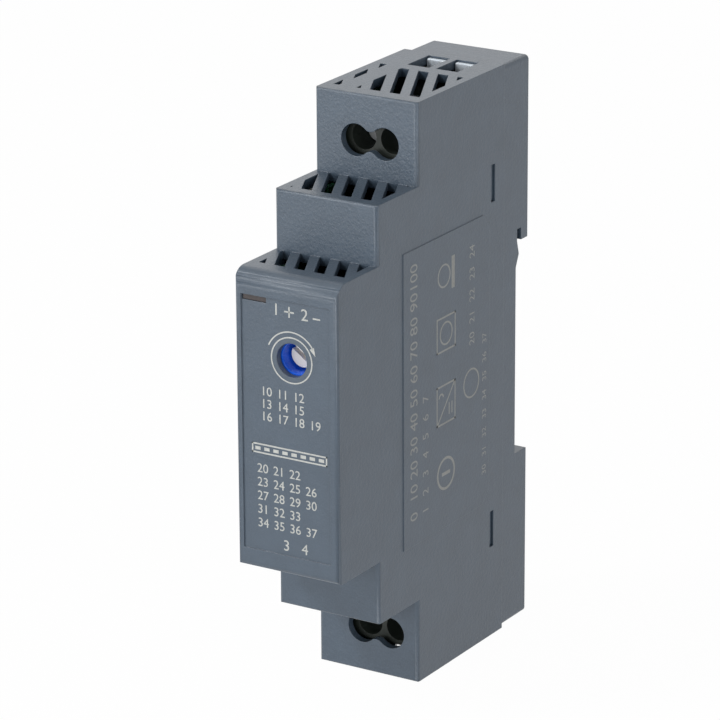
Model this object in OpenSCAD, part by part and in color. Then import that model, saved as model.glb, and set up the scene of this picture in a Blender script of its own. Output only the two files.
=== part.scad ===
// One-module stepped power supply for a 35 mm mounting rail.
// X runs across the case, -Y is the front label, +Y is the rail side, Z is up.
// The origin is under the middle of the case, where it stands on a table.

/* [Case] */
// Width of the case along the rail
body_w = 17.5; // [17.5:0.5:27]
// Depth from the front label to the back of the rail foot
body_d = 54.5; // [54.5:0.5:66]
// Height of the case
body_h = 90; // [90:1:110]
// Wall thickness of the front cover
wall = 1.3; // [1.1:0.1:1.4]
// Depth of the rear base, from the seam to the back
base_d = 7.3; // [7.0:0.1:9]
// Wall thickness of the rear base
base_wall = 1.3; // [1.1:0.1:1.6]
// How far the rear base is set in from the cover all round
base_inset = 0.25; // [0.1:0.05:0.4]
// Radius along the four long corners of the rear base
base_r = 0.7; // [0.3:0.1:1]

/* [Front steps] */
// Depth of the nose, the foremost step
nose_d = 10.9; // [10:0.1:12]
// Height of the nose's underside above the bottom of the case
nose_z = 23; // [21:0.5:24]
// Height of the nose
nose_h = 45.3; // [45:0.1:47]
// Depth of the middle step
mid_d = 11.05; // [10:0.05:12]
// Height of the middle step's underside above the bottom of the case
mid_z = 13.2; // [12.8:0.1:14]
// Height of the middle step
mid_h = 64.2; // [63:0.1:65]
// Radius along the upper front edge of the nose
nose_top_r = 2.5; // [1:0.1:3]
// Radius along the lower front edge of the nose
nose_low_r = 1; // [0.5:0.1:2]
// Radius along the level front edges of the two set-back steps
step_r = 0.4; // [0.2:0.1:1]
// Radius along the upright front edges of every step
side_r = 0.7; // [0.3:0.1:1]

/* [Vents and label fields] */
// Spacing of the slanted vent slots across the case
vent_pitch = 3.35; // [3:0.05:4]
// Width of a vent slot, measured across the case
vent_w = 1.75; // [1.2:0.05:2]
// How far a slot shifts across the case for each millimetre of depth
vent_slant = 0.48; // [0.2:0.02:0.6]
// Solid border between a vent field and the side of the case
vent_border = 1.45; // [1.4:0.05:2]
// Depth of the sunk label field on the front
label_depth = 0.2; // [0.1:0.05:0.3]
// Height of the raised label field on the right side
label_rise = 0.12; // [0.05:0.01:0.15]

/* [Terminals] */
// Distance between the two poles of a terminal block
pole_pitch = 4.9; // [4.8:0.1:5.2]
// Middle of the output poles, from the left side of the case
output_x = 9.4; // [9.2:0.1:9.8]
// Middle of the input poles, from the left side of the case
input_x = 10.1; // [9.8:0.1:10.4]
// Height of the screw axes from the nearer end of the case
pole_z = 7; // [6.8:0.1:7.5]
// Radius of the screwdriver openings
driver_r = 2.45; // [2.2:0.05:2.45]
// Half height of the waist between two screwdriver openings
waist_half = 1.5; // [1.2:0.1:1.8]
// Width of a wire entry, across the case
wire_w = 3.7; // [3.4:0.1:3.8]
// Length of a wire entry, front to back
wire_l = 6.2; // [5.5:0.1:6.4]
// Pitch of the terminal screw thread
thread_pitch = 0.45; // [0.4:0.05:0.5]
// Turns from fully open to fully closed
clamp_turns = 10; // [8:1:10]
// Radius of the terminal screw shank
shank_r = 1.25; // [1:0.05:1.3]

/* [Rail foot] */
// Depth of the rail recess, from its floor to the back of the foot
recess_d = 3.45; // [3.2:0.05:3.6]
// Height of the lower ledge of the recess above the bottom of the case
ledge_z = 27.4; // [26:0.1:28]
// Height of the recess between the ledge and the hook
recess_h = 34; // [33.5:0.1:34.4]
// Depth of the undercut behind the hook, up into the hook
hook_undercut = 1.9; // [1.5:0.1:2.2]
// Gap for the rail's flange behind the hook
hook_gap = 1.2; // [1.1:0.05:1.3]
// Width of the latch plate
latch_w = 7.4; // [6:0.2:8]
// Travel of the latch
latch_travel = 3.6; // [2.5:0.1:3.8]

/* [Board and trimmer] */
// Thickness of the circuit board
board_t = 1.2; // [1:0.1:1.6]
// Gap between the cover's left wall and the board
board_gap = 1.2; // [1.2:0.05:1.4]
// Height of the trimmer axis above the bottom of the case
trimmer_z = 56; // [54:0.5:57]
// Height of the trimmer axis above the face of the board
trimmer_rise = 5.85; // [5.6:0.05:6]
// Radius of the trimmer opening in the front
trimmer_hole_r = 2.55; // [2.3:0.05:2.8]

/* [Hidden] */
$fn = 48;
eps = 0.01;
clear = 0.1;

shoulder_y = nose_d + mid_d;
nose_top = nose_z + nose_h;
mid_top = mid_z + mid_h;
seam_y = body_d - base_d;
board_x0 = wall + board_gap;
board_x = board_x0 + board_t;
board_rear = seam_y + 1.4;
board_edge = wall + 0.2;
inner_right = body_w - wall;
side_x = body_w - label_rise;

// Rail foot
recess_y = body_d - recess_d;
hook_z = ledge_z + recess_h;
hook_y = recess_y + 0.35;
base_floor = recess_y - 1.65;
mid_x = body_w / 2;
nub_h = 4.1;
nub_rise = 0.9;
latch_y = recess_y + 0.45;
latch_t = 1.8;
latch_rib_w = latch_w - 2;
latch_low = 0.5;
tongue_h = 2.3;
tongue_y = recess_y + 1.15;
post_z = 8;
post_h = 2;
spring_z = post_z + post_h;
spring_len = latch_travel + 6.4;
spring_r = 1.1;
spring_wire = 0.3;
spring_y = latch_y + 0.6;

// Snap joints between the base and the cover
snap_w = 1.1;
snap_h = 5.8;
snap_y = seam_y - 3.9;
snap_z = 17.5;
arm_t = 1;
lip_l = 1.5;

// Terminals, from the front of the shoulder to the rear
block_y = shoulder_y + 2.45;
head_y = shoulder_y + 6.5;
head_t = 1.8;
head_r = 1.85;
guide_r = 2.05;
nut_y = shoulder_y + 14.55;
nut_t = 1.4;
contact_y = shoulder_y + 16.35;
contact_t = 0.8;
cage_l = 9.2;
cage_w = 4.2;
cage_wall = 0.4;
cage_back = 0.8;
cage_h = 5;
tongue_sink = 0.3;
cage_travel = thread_pitch * clamp_turns;
wire_y = nut_y + cage_l + clear - wire_l;
block_rear = nut_y + cage_l + 0.9;
block_h = 11.8;
block_end = 1.6;
block_wall = 0.7;

// Trimmer and lamp
trimmer_x = board_x + trimmer_rise;
trimmer_y = 5;
trimmer_size = 6.4;
trimmer_len = 4.5;
rotor_r = 1.85;
rotor_y = 3.1;
rotor_len = 4.6;
lamp_x = 1.2;
lamp_w = 4.1;
lamp_h = 0.9;
lamp_sink = 0.15;
lamp_z = nose_top - 4.4;

// Ring core of the line choke
choke_r = 5.2;
choke_hole_r = 2.6;
choke_t = 4.4;
choke_x = board_x + 2.6;

// Transformer core: half its depth and height, its middle leg and its windows
core_half = [10, 8.6];
core_x = board_x + 3.4;
core_t = 5;
leg = 4.8;
window_half = 7.4;

// Soldered parts: each list gives the [depth, height] of a part's pins
pin_r = 0.35;
pin_out = 0.55;
contact_pins = [block_end + 9.9, block_end + 11.1];
fuse_at = [18.3, 18.2];
thermistor_at = [27.1, 18.6];
filter_cap_at = [36.7, 19.4];
line_choke_at = [29.8, 28];
bridge_at = [41, 28];
bulk_at = [[13.2, 30.2], [13.2, 40.8]];
transformer_at = [34.6, 43.2];
controller_at = [29.8, 58];
isolator_at = [39.4, 58];
safety_cap_at = [44.4, 57.4];
rectifier_at = [29.6, 67.6];
output_caps_at = [[17.9, 70.6], [17.9, 61.4]];
output_choke_at = [17.9, 52.2];
snubber_at = [40.6, 68];

function row(at, dy, dz) = [for (s = [-1, 1]) [at[0] + s * dy, at[1] + s * dz]];
function grid(at, dy, dz, n) =
    [for (s = [-1, 1], k = [0 : n - 1]) [at[0] + (k - (n - 1) / 2) * dy, at[1] + s * dz]];

fuse_pins = row(fuse_at, 2.54, 0);
thermistor_pins = row(thermistor_at, 2.5, 0);
filter_cap_pins = row(filter_cap_at, 5, 0);
line_choke_pins = grid(line_choke_at, 6, 4.6, 2);
bridge_pins = grid(bridge_at, 5, 3.6, 2);
bulk_pins = [for (at = bulk_at, s = [-1, 1]) [at[0] + 9.6, at[1] + s * 2.5]];
transformer_pins = [for (s = [-1, 1], k = [-2 : 2])
    [transformer_at[0] + s * 8.2, transformer_at[1] + k * 3]];
controller_pins = grid(controller_at, 2.54, 3.9, 4);
isolator_pins = grid(isolator_at, 2.54, 3.9, 2);
safety_cap_pins = row(safety_cap_at, 0, 2.5);
rectifier_pins = [for (k = [-1 : 1]) [rectifier_at[0] + 8.6, rectifier_at[1] + k * 2.54]];
output_cap_pins = [for (at = output_caps_at, s = [-1, 1]) [at[0], at[1] + s * 1.75]];
output_choke_pins = row(output_choke_at, 2, 0);
snubber_pins = row(snubber_at, 0, 4.2);
trimmer_pins = [for (k = [-1 : 1]) [trimmer_y + trimmer_len / 2, trimmer_z + k * 2.54]];
output_pins = [for (z = contact_pins) [contact_y + contact_t / 2, body_h - z]];
input_pins = [for (z = contact_pins) [contact_y + contact_t / 2, z]];
all_pins = concat(fuse_pins, thermistor_pins, filter_cap_pins, line_choke_pins, bridge_pins,
    bulk_pins, transformer_pins, controller_pins, isolator_pins, safety_cap_pins,
    rectifier_pins, output_cap_pins, output_choke_pins, snubber_pins, trimmer_pins,
    output_pins, input_pins);

// Case coordinates start at the left, the front and the bottom of the case.
module in_case() translate([-body_w / 2, -body_d / 2, 0]) children();
// Extrudes a shape drawn in depth and height along the width.
module across(x0, x1) translate([x0, 0, 0]) rotate([90, 0, 90]) linear_extrude(x1 - x0) children();
// A box given by its two corners.
module block(a, b) translate(a) cube(b - a);
// A round bar along the depth.
module bar_y(x, z, y0, y1, r) translate([x, y0, z]) rotate([-90, 0, 0]) cylinder(h = y1 - y0, r = r);
// A round bar along the width, standing on the board.
module bar_x(at, x0, x1, r) translate([x0, at[0], at[1]]) rotate([0, 90, 0]) cylinder(h = x1 - x0, r = r);
// Mirrors what is drawn at the top of the case to its bottom.
module upside_down() translate([0, 0, body_h]) mirror([0, 0, 1]) children();
module pins(list, from = board_x) for (p = list) bar_x(p, board_x0 - pin_out, from, pin_r);

// ---- Case ----

module corner_cut(r) difference() {
    translate([-1, -1]) square(r + 1);
    translate([r, r]) circle(r);
}

// One step of the case, from its front to the seam, with its two front corners rounded.
module step_outline(y, z, height, length, inset) {
    r = max(step_r - inset, 0.1);
    difference() {
        translate([y + inset, z + inset]) square([length, height - 2 * inset]);
        translate([y + inset, z + inset]) corner_cut(r);
        translate([y + inset, z + height - inset]) mirror([0, 1]) corner_cut(r);
    }
}

module case_outline(inset) {
    front = inset;
    low = nose_z + inset;
    high = nose_top - inset;
    difference() {
        translate([front, low]) square([shoulder_y, high - low]);
        translate([front, high]) mirror([0, 1]) corner_cut(nose_top_r - inset);
        translate([front, low]) corner_cut(max(nose_low_r - inset, 0.1));
    }
    step_outline(nose_d, mid_z, mid_h, mid_d + 1, inset);
    step_outline(shoulder_y, 0, body_h, seam_y - shoulder_y - inset + (inset > 0 ? 1 : 0), inset);
}

// Slanted slots of one regular pattern, cut off by a rectangle in width and depth.
module vent_field(x0, y0, x1, y1, z) translate([0, 0, z - wall - 1]) linear_extrude(wall + 2)
    intersection() {
        translate([x0, y0]) square([x1 - x0, y1 - y0]);
        for (k = [0 : 12]) {
            start = (k - 0.15) * vent_pitch;
            polygon([[start, 0], [start + vent_w, 0],
                [start + vent_w - vent_slant * body_d, body_d], [start - vent_slant * body_d, body_d]]);
        }
    }

module vents() {
    right = body_w - vent_border;
    vent_field(vent_border, 4.4, right, nose_d, nose_top);
    vent_field(vent_border, nose_d + 2, right, shoulder_y, mid_top);
    vent_field(output_x - 4, shoulder_y + 2.8, right, wire_y - 2.2, body_h);
    vent_field(vent_border, shoulder_y + 2.8, vent_border + 1, wire_y - 1.4, body_h);
}

module low_vents() {
    right = body_w - vent_border;
    vent_field(vent_border, 4.4, right, nose_d, nose_z + wall);
    vent_field(vent_border, nose_d + 2, right, shoulder_y, mid_z + wall);
    vent_field(output_x - 4, shoulder_y + 2.8, right, wire_y - 2.2, wall);
    vent_field(vent_border, shoulder_y + 2.8, vent_border + 1, wire_y - 1.4, wall);
}

// Two screwdriver holes joined by a smooth waist.
module driver_opening(x) {
    half = pole_pitch / 2;
    neck_r = (half * half + waist_half * waist_half - driver_r * driver_r) / (2 * (driver_r - waist_half));
    share = driver_r / (driver_r + neck_r);
    depth = wall + 1;
    for (s = [-1, 1]) bar_y(x + s * half, body_h - pole_z, shoulder_y - 0.5, shoulder_y + depth, driver_r);
    difference() {
        block([x - half * (1 - share), shoulder_y - 0.5, body_h - pole_z - (waist_half + neck_r) * share],
            [x + half * (1 - share), shoulder_y + depth, body_h - pole_z + (waist_half + neck_r) * share]);
        for (s = [-1, 1]) bar_y(x, body_h - pole_z + s * (waist_half + neck_r),
            shoulder_y - 1, shoulder_y + depth + 1, neck_r);
    }
}

module wire_entries(x) for (s = [-1, 1])
    block([x + s * pole_pitch / 2 - wire_w / 2, wire_y, body_h - wall - 1],
        [x + s * pole_pitch / 2 + wire_w / 2, wire_y + wire_l, body_h + 1]);

module snap_holes() for (x = [-1, inner_right - 1], z = [snap_z, body_h - snap_z])
    block([x, snap_y, z - snap_h / 2], [x + wall + 2, snap_y + snap_w, z + snap_h / 2]);

// The raised side label field, with its two rear corners cut off.
module side_label() across(side_x - 0.3, body_w) {
    front = 17.9;
    rear = snap_y - 0.5;
    low = nose_z - 0.6;
    cut = 2;
    polygon([[front, low], [rear - cut, low], [rear, low + cut], [rear, nose_top - cut],
        [rear - cut, nose_top], [front, nose_top]]);
}

module front_label() block([1.1, -1, nose_z + 3], [body_w - 1.5, label_depth, nose_top - 3.5]);

module board_guides() {
    for (z = [nose_z + wall - eps, nose_top - wall - 1.2], x = [wall - eps, board_x + clear / 2])
        block([x, 2, z], [x < 2 ? board_x0 - clear / 2 : x + 1, 8.5, z + 1.2 + eps]);
}

// Rounds the upright front edges of one step between two heights.
module upright_cut(y, z0, z1) translate([0, y, z0]) linear_extrude(z1 - z0) {
    corner_cut(side_r);
    translate([side_x, 0]) mirror([1, 0]) corner_cut(side_r);
}

module upright_cuts() {
    upright_cut(0, nose_z - 1, nose_top + 1);
    upright_cut(nose_d, mid_z - 1, nose_z);
    upright_cut(nose_d, nose_top, mid_top + 1);
    upright_cut(shoulder_y, -1, mid_z);
    upright_cut(shoulder_y, mid_top, body_h + 1);
}

module front_cover() color("slategray") in_case() {
    difference() {
        union() {
            across(0, side_x) case_outline(0);
            side_label();
        }
        across(wall, inner_right) case_outline(wall);
        upright_cuts();
        vents();
        low_vents();
        driver_opening(output_x);
        upside_down() driver_opening(input_x);
        wire_entries(output_x);
        upside_down() wire_entries(input_x);
        snap_holes();
        front_label();
        bar_y(trimmer_x, trimmer_z, -1, wall + 1, trimmer_hole_r);
        block([lamp_x, -1, lamp_z], [lamp_x + lamp_w, wall + 1, lamp_z + lamp_h]);
    }
    board_guides();
}

// ---- Rail foot ----

module snap_arms() for (side = [0, 1], z = [snap_z, body_h - snap_z])
    translate([side * body_w, 0, 0]) mirror([side, 0, 0]) {
        inner = wall + clear;
        low = z - snap_h / 2 + 0.2;
        high = z + snap_h / 2 - 0.2;
        block([inner, snap_y - 0.7, low], [inner + arm_t, seam_y + 1.4, high]);
        block([0.45, snap_y + clear, low], [inner + eps, snap_y + snap_w - clear, high]);
        block([base_inset + 0.5, seam_y, low], [inner + arm_t, seam_y + 1.4, high]);
    }

module side_lips() for (side = [0, 1])
    translate([side * body_w, 0, 0]) mirror([side, 0, 0]) {
        inner = wall + clear;
        block([inner, seam_y - lip_l, mid_z + 12], [inner + 0.9, seam_y + eps, mid_top - 12]);
        block([base_inset + 0.5, seam_y, mid_z + 12], [inner + 0.9, seam_y + 1.2, mid_top - 12]);
    }

// Posts whose slots hold the rear edge of the board.
module board_posts() for (z = [32, body_h - 34]) difference() {
    block([base_inset + 0.5, seam_y + 0.4, z], [board_x + 1.6, base_floor + eps, z + 4]);
    block([board_x0 - clear / 2, seam_y - 1, z - 1], [board_x + clear / 2, board_rear + clear, z + 5]);
}

module base_hollows() {
    x0 = base_inset + base_wall;
    x1 = body_w - x0;
    low = base_inset + base_wall;
    block([x0, seam_y - 1, low], [x1, base_floor, body_h - low]);
    block([x0, seam_y - 1, hook_z + hook_undercut + 1.5], [x1, body_d - base_wall - 0.1, body_h - low]);
    for (x = [[x0, mid_x - latch_w / 2 - 1], [mid_x + latch_w / 2 + 1, x1]])
        block([x[0], seam_y - 1, low], [x[1], body_d - base_wall - 0.1, ledge_z - 1.5]);
}

module latch_channel() {
    half = latch_w / 2 + clear;
    rib_half = latch_rib_w / 2 + 0.15;
    block([mid_x - half, latch_y - clear, -1], [mid_x + half, latch_y + latch_t + clear, ledge_z + 1]);
    block([mid_x - rib_half, latch_y, -1], [mid_x + rib_half, body_d + 1, ledge_z + 1]);
    block([mid_x - half, recess_y - 0.35, ledge_z], [mid_x + half, recess_y + 1, ledge_z + tongue_h + 0.9]);
    translate([mid_x, spring_y, spring_z]) cylinder(h = spring_len + 0.3, r = spring_r + 0.15);
}

module base_body() translate([0, body_d, 0]) rotate([90, 0, 0]) linear_extrude(base_d) difference() {
    translate([base_inset, base_inset]) square([body_w - 2 * base_inset, body_h - 2 * base_inset]);
    for (across = [0, 1], up = [0, 1]) translate([across * body_w, up * body_h])
        mirror([across, 0]) mirror([0, up]) translate([base_inset, base_inset]) corner_cut(base_r);
}

module rear_base() color("slategray") in_case() {
    difference() {
        union() {
            difference() {
                base_body();
                block([-1, recess_y, ledge_z], [body_w + 1, body_d + 1, hook_z]);
                block([-1, hook_y, hook_z - 1], [body_w + 1, hook_y + hook_gap, hook_z + hook_undercut]);
                base_hollows();
            }
            across(base_inset, body_w - base_inset) polygon([[recess_y - eps, hook_z - nub_h],
                [recess_y + nub_rise, hook_z - nub_h / 2], [hook_y, hook_z], [recess_y - eps, hook_z]]);
        }
        latch_channel();
    }
    snap_arms();
    side_lips();
    board_posts();
    block([mid_x - spring_r - 0.1, latch_y - clear - eps, post_z],
        [mid_x + spring_r + 0.1, latch_y + latch_t - clear, post_z + post_h]);
}

module rail_latch() color("dimgray") in_case() {
    half = latch_w / 2;
    rib_half = latch_rib_w / 2;
    top = ledge_z - clear;
    rear = body_d - 0.2;
    difference() {
        union() {
            block([mid_x - half, latch_y, latch_low], [mid_x + half, latch_y + latch_t, top]);
            block([mid_x - rib_half, latch_y + latch_t - eps, latch_low], [mid_x + rib_half, rear, top]);
            across(mid_x - rib_half, mid_x + rib_half) polygon([[tongue_y, top - eps], [rear, top - eps],
                [rear, top + 0.6], [tongue_y + 0.8, top + tongue_h], [tongue_y, top + tongue_h]]);
        }
        block([mid_x - spring_r - 0.25, latch_y - 1, post_z - clear],
            [mid_x + spring_r + 0.25, latch_y + latch_t, spring_z + spring_len]);
        block([mid_x - 1.7, latch_y - 1, latch_low + 1.7], [mid_x + 1.7, body_d + 1, latch_low + 4.1]);
    }
}

// A coil spring: rings of points along a helix, joined into one closed tube.
module coil(radius, wire, height, turns, steps = 12, sides = 6) {
    rings = turns * steps;
    points = [for (k = [0 : rings], j = [0 : sides - 1])
        let (a = 360 * k / steps, b = 360 * j / sides, r = radius + wire * cos(b))
            [r * cos(a), r * sin(a), height * k / rings + wire * sin(b)]];
    tube = [for (k = [0 : rings - 1], j = [0 : sides - 1]) let (n = (j + 1) % sides)
        [k * sides + j, k * sides + n, (k + 1) * sides + n, (k + 1) * sides + j]];
    ends = [[for (j = [sides - 1 : -1 : 0]) j], [for (j = [0 : sides - 1]) rings * sides + j]];
    polyhedron(points, concat(tube, ends), convexity = 8);
}

module latch_spring() color("silver") in_case() {
    wire_r = spring_wire / 2;
    translate([mid_x, spring_y, spring_z + wire_r + clear / 2])
        coil(spring_r - wire_r, wire_r, spring_len - 2 * wire_r - clear, 8);
}

// ---- Terminals, drawn at the top of the case ----

module terminal_block(x) {
    top = body_h - block_end;
    low = top - block_h;
    axis = body_h - pole_z;
    difference() {
        block([board_x, block_y, low],
            [x + (pole_pitch + cage_w) / 2 + clear + block_wall, block_rear, top]);
        for (s = [-1, 1]) {
            px = x + s * pole_pitch / 2;
            bar_y(px, axis, block_y - 1, head_y + head_t + clear, guide_r);
            bar_y(px, axis, head_y, nut_y, shank_r + 0.15);
            block([px - cage_w / 2 - clear, nut_y - cage_travel - 0.4, axis - cage_h / 2 - 0.3],
                [px + cage_w / 2 + clear, block_rear - 0.6, axis + cage_h / 2 + 0.3]);
            block([px - wire_w / 2, wire_y, axis], [px + wire_w / 2, wire_y + wire_l, top + 1]);
        }
        block([board_x - 1, block_y - 1, axis + guide_r + block_wall], [body_w, wire_y - 1, top + 1]);
        block([board_x - 1, contact_y - clear / 2, low - 1],
            [x + (pole_pitch + cage_w) / 2, contact_y + contact_t + clear / 2, axis - cage_h / 2]);
    }
}

// Contact bar of one pole: the plate that the wire is pressed against, its foot and its pin.
module contact(px, k) {
    half = cage_w / 2 - cage_wall - clear;
    axis = body_h - pole_z;
    foot = body_h - contact_pins[k];
    block([px - half, contact_y, foot - 0.4], [px + half, contact_y + contact_t, axis + cage_h / 2]);
    block([board_x, contact_y, foot - 0.4], [px + half, contact_y + contact_t, foot + 0.4]);
    pins([[contact_y + contact_t / 2, foot]], board_x + eps);
}

module contacts(x) {
    contact(x - pole_pitch / 2, 0);
    contact(x + pole_pitch / 2, 1);
}

module terminal_screw(px) {
    axis = body_h - pole_z;
    difference() {
        union() {
            bar_y(px, axis, head_y, head_y + head_t, head_r);
            bar_y(px, axis, head_y + head_t - eps, contact_y - 0.15, shank_r);
        }
        block([px - head_r - 1, head_y - 1, axis - 0.3], [px + head_r + 1, head_y + 0.9, axis + 0.3]);
        block([px - 0.3, head_y - 1, axis - 1.2], [px + 0.3, head_y + 0.9, axis + 1.2]);
    }
}

// Rising clamp: the screw draws it forward and the wire is gripped at its back.
module clamp_cage(px) {
    axis = body_h - pole_z;
    rear = nut_y + cage_l;
    difference() {
        union() {
            block([px - cage_w / 2, nut_y, axis - cage_h / 2], [px + cage_w / 2, rear, axis + cage_h / 2]);
            block([px - cage_w / 2 + cage_wall, rear - cage_back, axis],
                [px + cage_w / 2 - cage_wall, rear, body_h - tongue_sink]);
        }
        block([px - cage_w / 2 + cage_wall, nut_y + nut_t, axis - cage_h],
            [px + cage_w / 2 - cage_wall, rear - cage_back, axis + cage_h]);
        bar_y(px, axis, nut_y - 1, nut_y + nut_t + 1, shank_r + 0.05);
    }
}

module output_terminal_block() color("darkslategray") in_case() terminal_block(output_x);
module input_terminal_block() color("darkslategray") in_case() upside_down() terminal_block(input_x);
module output_contacts() color("goldenrod") in_case() contacts(output_x);
module input_contacts() color("goldenrod") in_case() upside_down() contacts(input_x);
module output_screw_plus() color("silver") in_case() terminal_screw(output_x - pole_pitch / 2);
module output_screw_minus() color("silver") in_case() terminal_screw(output_x + pole_pitch / 2);
module input_screw_neutral() color("silver") in_case()
    upside_down() terminal_screw(input_x - pole_pitch / 2);
module input_screw_live() color("silver") in_case()
    upside_down() terminal_screw(input_x + pole_pitch / 2);
module output_clamp_plus() color("lightgray") in_case() clamp_cage(output_x - pole_pitch / 2);
module output_clamp_minus() color("lightgray") in_case() clamp_cage(output_x + pole_pitch / 2);
module input_clamp_neutral() color("lightgray") in_case()
    upside_down() clamp_cage(input_x - pole_pitch / 2);
module input_clamp_live() color("lightgray") in_case()
    upside_down() clamp_cage(input_x + pole_pitch / 2);

// ---- Board ----

module board_outline(x0, x1) {
    edge = board_edge;
    block([x0, edge + 0.3, nose_z + edge], [x1, board_rear, nose_top - edge]);
    block([x0, nose_d + edge, mid_z + edge], [x1, board_rear, mid_top - edge]);
    block([x0, shoulder_y + edge, edge], [x1, seam_y - 0.5, body_h - edge]);
}

module main_board() color("darkgreen") in_case() difference() {
    board_outline(board_x0, board_x);
    for (p = all_pins) bar_x(p, board_x0 - 1, board_x + 1, pin_r + clear);
}

module solder_joints() color("silver") in_case() for (p = all_pins) difference() {
    translate([board_x0 - 0.4, p[0], p[1]]) rotate([0, 90, 0]) cylinder(h = 0.4, r1 = 0.5, r2 = 0.85);
    bar_x(p, board_x0 - 1, board_x0 + 1, pin_r + 0.02);
}

module insulation_sheet() color("ivory") in_case()
    block([wall + 0.05, nose_d + 1.7, mid_z + 1.7], [wall + 0.3, snap_y - 1, mid_top - 1.7]);

// ---- Trimmer and lamp ----

module trimmer_body() color("royalblue") in_case() {
    half = trimmer_size / 2;
    rear = trimmer_y + trimmer_len;
    difference() {
        union() {
            block([board_x, trimmer_y, trimmer_z - half], [trimmer_x + half, rear, trimmer_z + half]);
            bar_y(trimmer_x, trimmer_z, wall + clear, trimmer_y + eps, half - 0.3);
        }
        bar_y(trimmer_x, trimmer_z, 0, trimmer_y, half - 0.9);
        bar_y(trimmer_x, trimmer_z, trimmer_y - 1, rotor_y + rotor_len + clear, rotor_r + 0.06);
    }
    pins(trimmer_pins, board_x + eps);
}

module trimmer_rotor() color("ivory") in_case() difference() {
    bar_y(trimmer_x, trimmer_z, rotor_y, rotor_y + rotor_len, rotor_r);
    rotate_about(trimmer_x, trimmer_z, 35)
        block([trimmer_x - rotor_r - 1, rotor_y - 1, trimmer_z - 0.35],
            [trimmer_x + rotor_r + 1, rotor_y + 1.2, trimmer_z + 0.35]);
}

module rotate_about(x, z, angle) translate([x, 0, z]) rotate([0, angle, 0]) translate([-x, 0, -z]) children();

module lamp_window() color("saddlebrown") in_case()
    block([lamp_x + 0.02, label_depth + lamp_sink, lamp_z + 0.02],
        [lamp_x + lamp_w - 0.02, wall + 0.3, lamp_z + lamp_h - 0.02]);

module status_lamp() color("palegreen") in_case() {
    at = lamp_z + lamp_h / 2;
    block([board_x, board_edge + 0.6, at - 0.8], [board_x + 1.3, board_edge + 3.6, at + 0.8]);
    bar_y(board_x + 0.65, at, wall + 0.35, board_edge + 0.6 + eps, 0.6);
}

// ---- Input filter ----

module input_fuse() color("saddlebrown") in_case() {
    block([board_x, fuse_at[0] - 4.1, fuse_at[1] - 2.1], [board_x + 7.7, fuse_at[0] + 4.1, fuse_at[1] + 2.1]);
    pins(fuse_pins, board_x + eps);
}

module inrush_thermistor() color("darkolivegreen") in_case() {
    radius = 3.4;
    at = [board_x + 1.6 + radius, thermistor_at[1] - 1.8];
    translate([at[0], thermistor_at[0], at[1]]) cylinder(h = 3.6, r = radius);
    pins(thermistor_pins, board_x + 3.6);
}

module filter_capacitor() color("gold") in_case() {
    block([board_x, filter_cap_at[0] - 5.9, filter_cap_at[1] - 2.8],
        [board_x + 10.8, filter_cap_at[0] + 5.9, filter_cap_at[1] + 2.8]);
    pins(filter_cap_pins, board_x + eps);
}

module line_choke_core() color("dimgray") in_case()
    translate([choke_x, line_choke_at[0], line_choke_at[1]]) rotate([0, 90, 0]) difference() {
        cylinder(h = choke_t, r = choke_r);
        translate([0, 0, -1]) cylinder(h = choke_t + 2, r = choke_hole_r);
    }

module line_choke_windings() color("chocolate") in_case()
    translate([choke_x, line_choke_at[0], line_choke_at[1]]) rotate([0, 90, 0])
        for (turn = [0, 180]) rotate([0, 0, turn]) rotate_extrude(angle = 120, start = 30) difference() {
            translate([choke_hole_r - 0.8, -0.8]) square([choke_r - choke_hole_r + 1.6, choke_t + 1.6]);
            translate([choke_hole_r - 0.02, -0.02]) square([choke_r - choke_hole_r + 0.04, choke_t + 0.04]);
        }

module line_choke_base() color("black") in_case() {
    difference() {
        block([board_x, line_choke_at[0] - 5.6, line_choke_at[1] - 5.2],
            [board_x + 1.7, line_choke_at[0] + 5.6, line_choke_at[1] + 5.2]);
        for (p = line_choke_pins) bar_x(p, board_x - 1, board_x + 3, pin_r + 0.02);
    }
    pins(line_choke_pins, board_x - clear);
}

module bridge_rectifier() color("black") in_case() {
    block([board_x + 0.3, bridge_at[0] - 4.2, bridge_at[1] - 3.1],
        [board_x + 2.8, bridge_at[0] + 4.2, bridge_at[1] + 3.1]);
    for (p = bridge_pins) {
        toward = p[1] > bridge_at[1] ? -1 : 1;
        block([board_x + 1.2, p[0] - 0.3, min(p[1] - 0.3, p[1] + toward * 0.6)],
            [board_x + 1.5, p[0] + 0.3, max(p[1] + 0.3, p[1] + toward * 0.6)]);
    }
    pins(bridge_pins, board_x + 1.3);
}

module lying_capacitor(at) {
    radius = 5;
    centre_x = board_x + radius + 0.3;
    front = at[0] - 8.6;
    rear = at[0] + 7.6;
    difference() {
        bar_y(centre_x, at[1], front, rear, radius);
        translate([centre_x, rear - 2.2, at[1]]) rotate([-90, 0, 0]) rotate_extrude()
            translate([radius + 0.35, 0]) circle(0.8);
    }
    for (s = [-1, 1]) {
        z = at[1] + s * 2.5;
        bar_y(centre_x, z, rear - eps, at[0] + 9.6 + pin_r, pin_r);
        bar_x([at[0] + 9.6, z], board_x0 - pin_out, centre_x, pin_r);
    }
}

module bulk_capacitor_low() color("darkslateblue") in_case() lying_capacitor(bulk_at[0]);
module bulk_capacitor_high() color("darkslateblue") in_case() lying_capacitor(bulk_at[1]);

// ---- Power stage ----

module transformer_core() color("dimgray") in_case()
    across(core_x, core_x + core_t) translate(transformer_at) difference() {
        square(core_half * 2, center = true);
        for (s = [-1, 1]) translate([-window_half, s > 0 ? leg / 2 : -core_half[1] + 2.1])
            square([window_half * 2, core_half[1] - 2.1 - leg / 2]);
    }

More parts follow.
